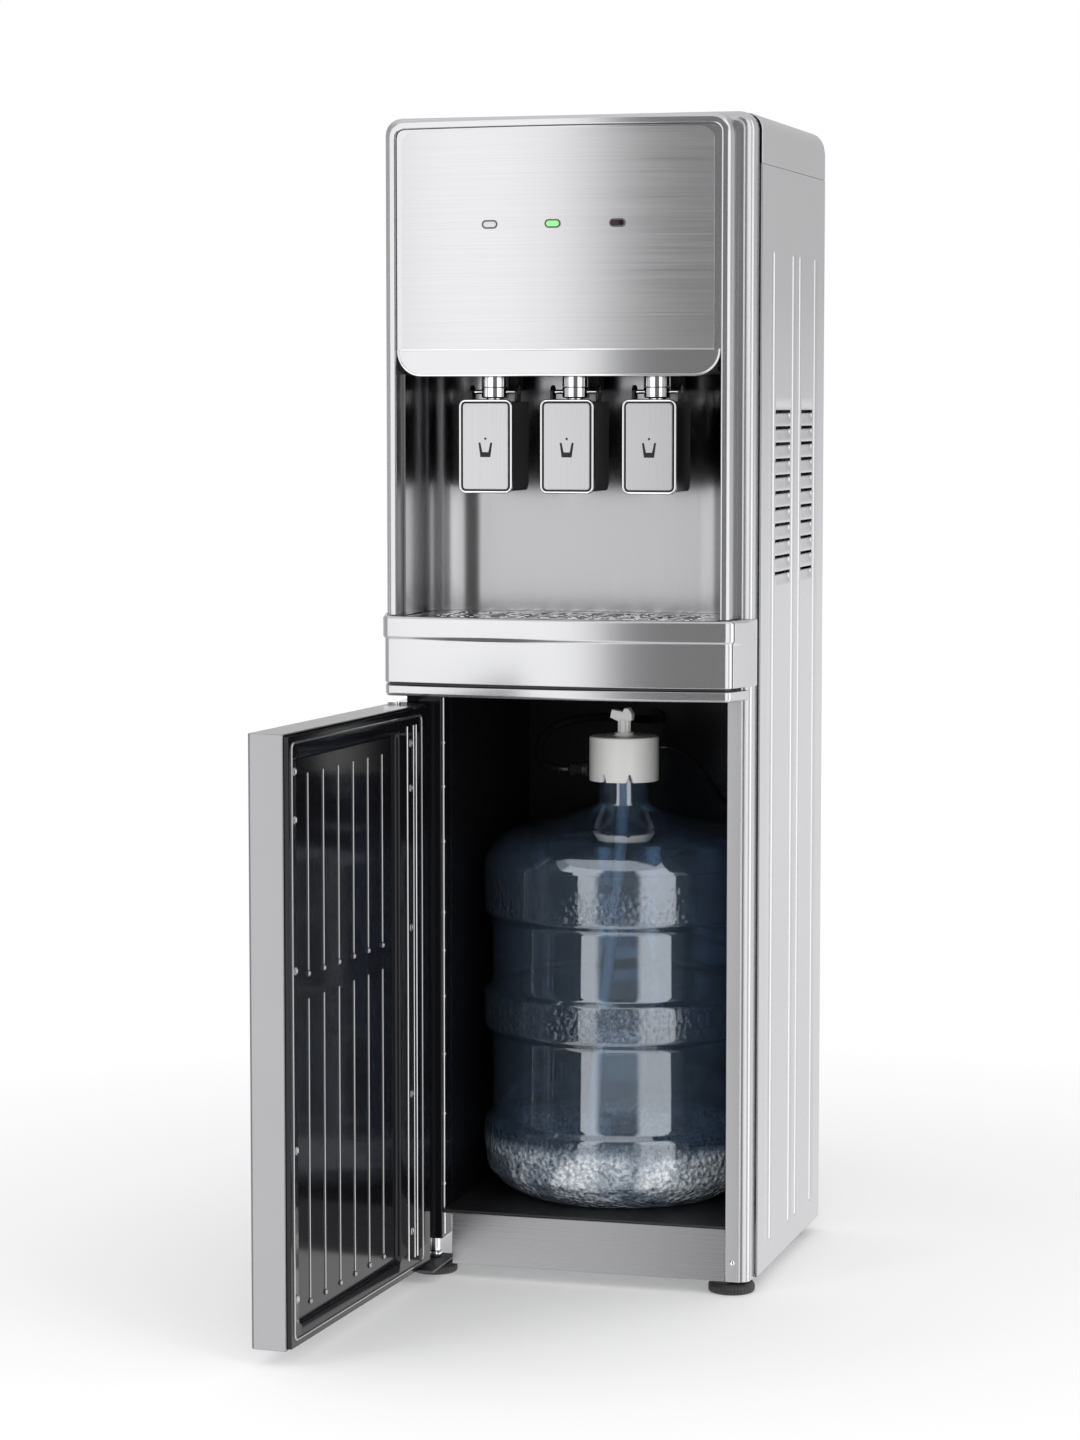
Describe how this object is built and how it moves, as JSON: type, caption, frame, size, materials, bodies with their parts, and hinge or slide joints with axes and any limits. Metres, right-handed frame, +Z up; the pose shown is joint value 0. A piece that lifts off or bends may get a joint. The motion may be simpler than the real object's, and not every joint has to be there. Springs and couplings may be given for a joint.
{
  "type": "water dispenser",
  "caption": "Free-standing bottom-load water dispenser with lever taps, drip tray and a bottle bay behind a hinged door.",
  "frame": {"origin": "on the floor under the middle of the cabinet's width and depth", "axes": "+Z up, -Y out of the front, +X to the viewer's right when facing the front"},
  "size_m": [0.3461, 0.6361, 1.05],
  "materials": {
    "silver_paint": "metallic silver, satin",
    "silver_moulding": "metallised satin silver",
    "brushed_steel": "fine horizontal brushing",
    "alcove_steel": "polished cheeks, finely brushed back",
    "lever_steel": "fine vertical brushing with a bright rim",
    "chrome": "polished",
    "black_plastic": "fine grain",
    "black_gloss": "glossy black",
    "white_plastic": "satin",
    "dark_paint": "satin",
    "galvanised": "zinc grey",
    "black_rubber": "matte",
    "hose_black": "satin",
    "bottle_blue": "clear blue polycarbonate",
    "tube_pale": "milky",
    "lens_clear": "clear, unlit",
    "lens_green": "green, lit",
    "lens_dark": "dark red, unlit",
    "board_green": "solder mask"
  },
  "bodies": {
    "cabinet": {"alcove_liner": "alcove_steel", "apron": "silver_moulding", "back_panel": "galvanised", "band_corner_left": "silver_moulding", "band_corner_right": "silver_moulding", "band_strip": "silver_moulding", "base_pan": "galvanised", "bay_floor": "black_plastic", "bay_liner": "black_gloss", "cold_tank": "galvanised", "compressor": "dark_paint", "condenser": "dark_paint", "control_board": "board_green", "control_panel": "brushed_steel", "foot_front_left": "black_rubber", "foot_front_right": "black_rubber", "foot_rear_left": "black_rubber", "foot_rear_right": "black_rubber", "front_frame": "silver_paint", "head_bezel": "silver_moulding", "head_front": "silver_moulding", "hinge_jamb": "black_gloss", "hot_tank": "brushed_steel", "indicator_1": "lens_clear", "indicator_2": "lens_green", "indicator_3": "lens_dark", "kick_plate": "brushed_steel", "lower_hinge": "chrome", "power_inlet": "black_plastic", "sensor_cable": "hose_black", "side_panel_left": "silver_paint", "side_panel_right": "silver_paint", "suction_hose": "hose_black", "switch_plate": "black_plastic", "tank_shelf": "dark_paint", "tap_body_1": "chrome", "tap_body_2": "chrome", "tap_body_3": "chrome", "top_cover": "silver_paint", "tray_deck": "dark_paint", "upper_hinge": "chrome", "water_pump": "dark_paint"},
    "door": {"door_skin": "silver_paint", "door_liner": "black_gloss"},
    "tray": {"drip_tray": "black_plastic"},
    "grille": {"drip_grille": "brushed_steel"},
    "bottle": {"water_bottle": "bottle_blue", "probe_cap": "white_plastic", "intake_tube": "tube_pale", "hose_connector": "black_plastic"},
    "rocker_hot": {"switch_hot": "black_plastic"},
    "rocker_cold": {"switch_cold": "black_plastic"},
    "lever_1": {"lever_arm_1": "black_plastic", "lever_face_1": "lever_steel"},
    "lever_2": {"lever_arm_2": "black_plastic", "lever_face_2": "lever_steel"},
    "lever_3": {"lever_arm_3": "black_plastic", "lever_face_3": "lever_steel"}
  },
  "joints": [
    {"name": "door_hinge", "type": "hinge", "parent": "cabinet", "child": "door", "pos_m": [-0.149, -0.173, 0.27], "axis": [0, 0, 1], "range_deg": [-18, 92.5]},
    {"name": "lever_1_push", "type": "hinge", "parent": "cabinet", "child": "lever_1", "pos_m": [-0.0757, -0.111, 0.8062], "axis": [1, 0, 0], "range_deg": [0, 10], "stiffness_Nm_per_rad": 0.5},
    {"name": "lever_2_push", "type": "hinge", "parent": "cabinet", "child": "lever_2", "pos_m": [0, -0.111, 0.8062], "axis": [1, 0, 0], "range_deg": [0, 10], "stiffness_Nm_per_rad": 0.5},
    {"name": "lever_3_push", "type": "hinge", "parent": "cabinet", "child": "lever_3", "pos_m": [0.0757, -0.111, 0.8062], "axis": [1, 0, 0], "range_deg": [0, 10], "stiffness_Nm_per_rad": 0.5},
    {"name": "tray_lift", "type": "slide", "parent": "cabinet", "child": "tray", "axis": [0, 0, 1], "range_m": [0, 0.04]},
    {"name": "grille_lift", "type": "slide", "parent": "tray", "child": "grille", "axis": [0, 0, 1], "range_m": [0, 0.04]},
    {"name": "bottle_slide", "type": "slide", "parent": "cabinet", "child": "bottle", "axis": [0, 1, 0], "range_m": [-0.22, 0], "deforming": ["suction_hose", "sensor_cable"]},
    {"name": "switch_hot_rock", "type": "hinge", "parent": "cabinet", "child": "rocker_hot", "pos_m": [0.117, 0.1425, 0.5635], "axis": [1, 0, 0], "range_deg": [0, 20]},
    {"name": "switch_cold_rock", "type": "hinge", "parent": "cabinet", "child": "rocker_cold", "pos_m": [0.093, 0.1425, 0.5635], "axis": [1, 0, 0], "range_deg": [0, 20]}
  ]
}
